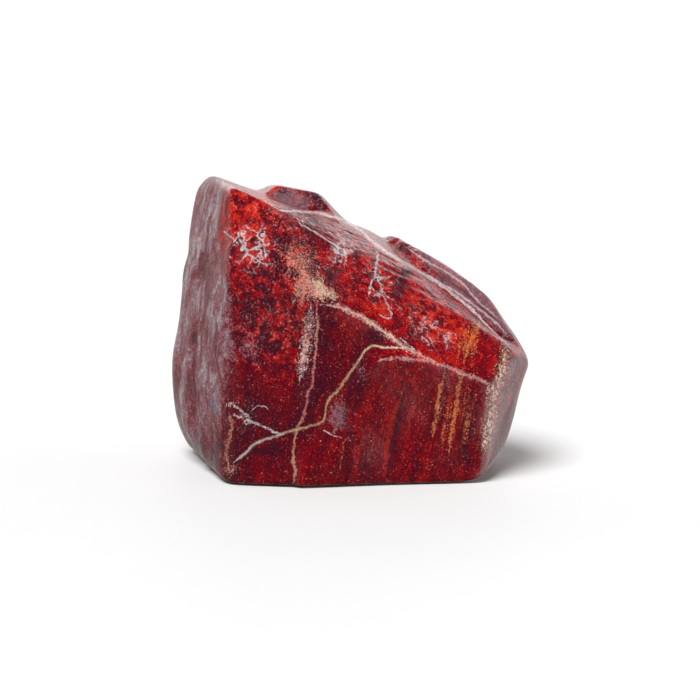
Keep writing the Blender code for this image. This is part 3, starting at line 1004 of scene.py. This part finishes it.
class JASPER_OT_stone(bpy.types.Operator):
    """Makes the stone's surface and its material, in place of the plain solid"""

    bl_idname = "jasper.stone"
    bl_label = "Stone"

    def execute(self, context):
        look = context.scene.jasper_stone
        points, squares = stone_surface(look)
        stone = make_object("jasper_stone", points, squares)
        across, up = picture_places(points)
        normals = point_normals(stone)
        front = smooth_step(normals @ direction(0, EYE_ELEVATION), *FRONT_RANGE)
        # The left end's clouds, which this mask lays, are partly painted sheen.
        left = np.maximum(smooth_step(normals @ direction(*LEFT_WAY), *LEFT_RANGE), front)
        border_across, border_up = np.array(LEFT_BORDER).T
        border = np.interp(up, border_up, border_across)
        left *= smooth_step(border - across, -BORDER_FADE, BORDER_FADE)
        # The top's chalk bands, which this mask lays, are painted highlights.
        top = smooth_step(normals @ direction(*TOP_WAY), *TOP_RANGE)
        values = {"picture_across": across, "picture_up": up, "front": front, "left": left, "top": top}
        for name, patches in PATCHES.items():
            values[name] = patch_strength(across, up, patches) * front
        for name, numbers in values.items():
            add_values(stone, name, numbers)
        stone.data.materials.append(jasper_material(look))
        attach(stone, "root")
        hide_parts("stone")
        return {"FINISHED"}


# The floor runs level from in front of the stone and slopes up far behind it.
FLOOR_HALF_WIDTH = 1500.0
FLOOR_FRONT = -1500.0
FLOOR_BACK = 450.0
SWEEP_RADIUS = 400.0
SWEEP_TURN = np.radians(50)
SLOPE_LENGTH = 1500.0
FLOOR_ROWS = 48
FLOOR_COLUMNS = 8

# The soft light from above, on the camera's side: where it hangs, and how wide it looks in degrees.
KEY_PLACE = (-250.0, -450.0, 860.0)
KEY_WIDTH = 35.0
# What the polish mirrors: dim in front and on the left, even behind, bright on the right and high up behind.
DIM_FRONT = 0.05
EVEN_BEHIND = 0.6
BRIGHT_LEFT = 0.18
BRIGHT_RIGHT = 1.8
BRIGHT_ABOVE = 2.1


def floor_surface():
    """A level strip that turns up behind along an arc and ends in a straight slope.

    One parameter is the length along that profile and the other runs across it.
    """
    level = FLOOR_BACK - FLOOR_FRONT
    length = np.linspace(0.0, level + SWEEP_RADIUS * SWEEP_TURN + SLOPE_LENGTH, FLOOR_ROWS)
    angle = np.clip((length - level) / SWEEP_RADIUS, 0.0, SWEEP_TURN)
    beyond_arc = np.maximum(length - level - SWEEP_RADIUS * SWEEP_TURN, 0.0)
    back = FLOOR_FRONT + np.minimum(length, level) + SWEEP_RADIUS * np.sin(angle)
    back += beyond_arc * np.cos(SWEEP_TURN)
    up = SWEEP_RADIUS * (1 - np.cos(angle)) + beyond_arc * np.sin(SWEEP_TURN)
    side = np.linspace(-FLOOR_HALF_WIDTH, FLOOR_HALF_WIDTH, FLOOR_COLUMNS)
    x, _ = np.meshgrid(side, length)
    y, z = (np.repeat(column[:, None], FLOOR_COLUMNS, axis=1) for column in (back, up))
    index = np.arange(x.size).reshape(x.shape)
    squares = np.stack((index[:-1, :-1], index[:-1, 1:], index[1:, 1:], index[1:, :-1]), axis=-1)
    return np.stack((x, y, z), axis=-1).reshape(-1, 3), squares.reshape(-1, 4)


def aim(obj, place, target):
    """Puts an object at a place in millimetres, facing the target."""
    obj.location = Vector(place) * MM
    obj.rotation_euler = (Vector(target) - Vector(place)).to_track_quat("-Z", "Y").to_euler()


def set_world():
    """The light that the polish mirrors, by the direction that it comes from."""
    world = bpy.data.worlds.new("studio")
    world.use_nodes = True
    paint = Paint(world.node_tree)
    x, y, z = paint.parts(paint.node("ShaderNodeTexCoord").outputs["Generated"])
    sides = x.step(0.45, 0.85) * BRIGHT_RIGHT + (-x).step(0.45, 0.85) * BRIGHT_LEFT
    above = z.step(0.15, 0.3) * z.step(0.56, 0.42) * y.step(0.3, 0.6) * BRIGHT_ABOVE
    behind = y.step(0.75, 0.95) * EVEN_BEHIND
    strength = sides * z.step(0.6, 0.2) + above + behind + DIM_FRONT
    background = world.node_tree.nodes["Background"]
    paint.feed(background.inputs["Color"], (1.0, 1.0, 1.0))
    paint.feed(background.inputs["Strength"], strength)
    bpy.context.scene.world = world


def key_light(studio):
    """A wide, soft sun that lights the stone without showing in its polish."""
    light = bpy.data.lights.new("key light", "SUN")
    light.energy = studio.key_strength
    light.angle = np.radians(KEY_WIDTH)
    lamp = bpy.data.objects.new("key light", light)
    bpy.context.scene.collection.objects.link(lamp)
    lamp.visible_glossy = False
    aim(lamp, KEY_PLACE, (0.0, 0.0, 0.0))


class JASPER_OT_stage(bpy.types.Operator):
    """Makes the floor, the lights and the camera"""

    bl_idname = "jasper.stage"
    bl_label = "Stage"

    def execute(self, context):
        studio = context.scene.jasper_studio
        floor = make_object("floor", *floor_surface())
        floor.data.materials.append(floor_material(studio))
        floor.visible_glossy = False
        key_light(studio)
        set_world()
        camera = bpy.data.objects.new("camera", bpy.data.cameras.new("camera"))
        context.scene.collection.objects.link(camera)
        camera.data.lens = studio.lens
        camera.data.clip_start = 0.01
        aim(camera, EYE_TARGET + direction(0, EYE_ELEVATION) * EYE_DISTANCE, EYE_TARGET)
        context.scene.camera = camera
        context.scene.view_settings.view_transform = "Standard"
        return {"FINISHED"}


class JASPER_PT_looks(bpy.types.Panel):
    """Lists the pieces and their settings"""

    bl_idname = "JASPER_PT_looks"
    bl_label = "Red jasper"
    bl_space_type = "VIEW_3D"
    bl_region_type = "UI"
    bl_category = "Red jasper"

    def draw(self, context):
        for operator, settings in (
            (JASPER_OT_stone, context.scene.jasper_stone),
            (JASPER_OT_stage, context.scene.jasper_studio),
        ):
            box = self.layout.box()
            box.operator(operator.bl_idname)
            for name in settings.__annotations__:
                box.prop(settings, name)


CLASSES = (StoneLook, StudioLook, JASPER_OT_stone, JASPER_OT_stage, JASPER_PT_looks)


def register():
    for cls in CLASSES:
        bpy.utils.register_class(cls)
    bpy.types.Scene.jasper_stone = bpy.props.PointerProperty(type=StoneLook)
    bpy.types.Scene.jasper_studio = bpy.props.PointerProperty(type=StudioLook)


def unregister():
    del bpy.types.Scene.jasper_stone
    del bpy.types.Scene.jasper_studio
    for cls in reversed(CLASSES):
        bpy.utils.unregister_class(cls)


def main():
    register()
    bpy.ops.jasper.stone()
    bpy.ops.jasper.stage()


if __name__ == "__main__":
    main()
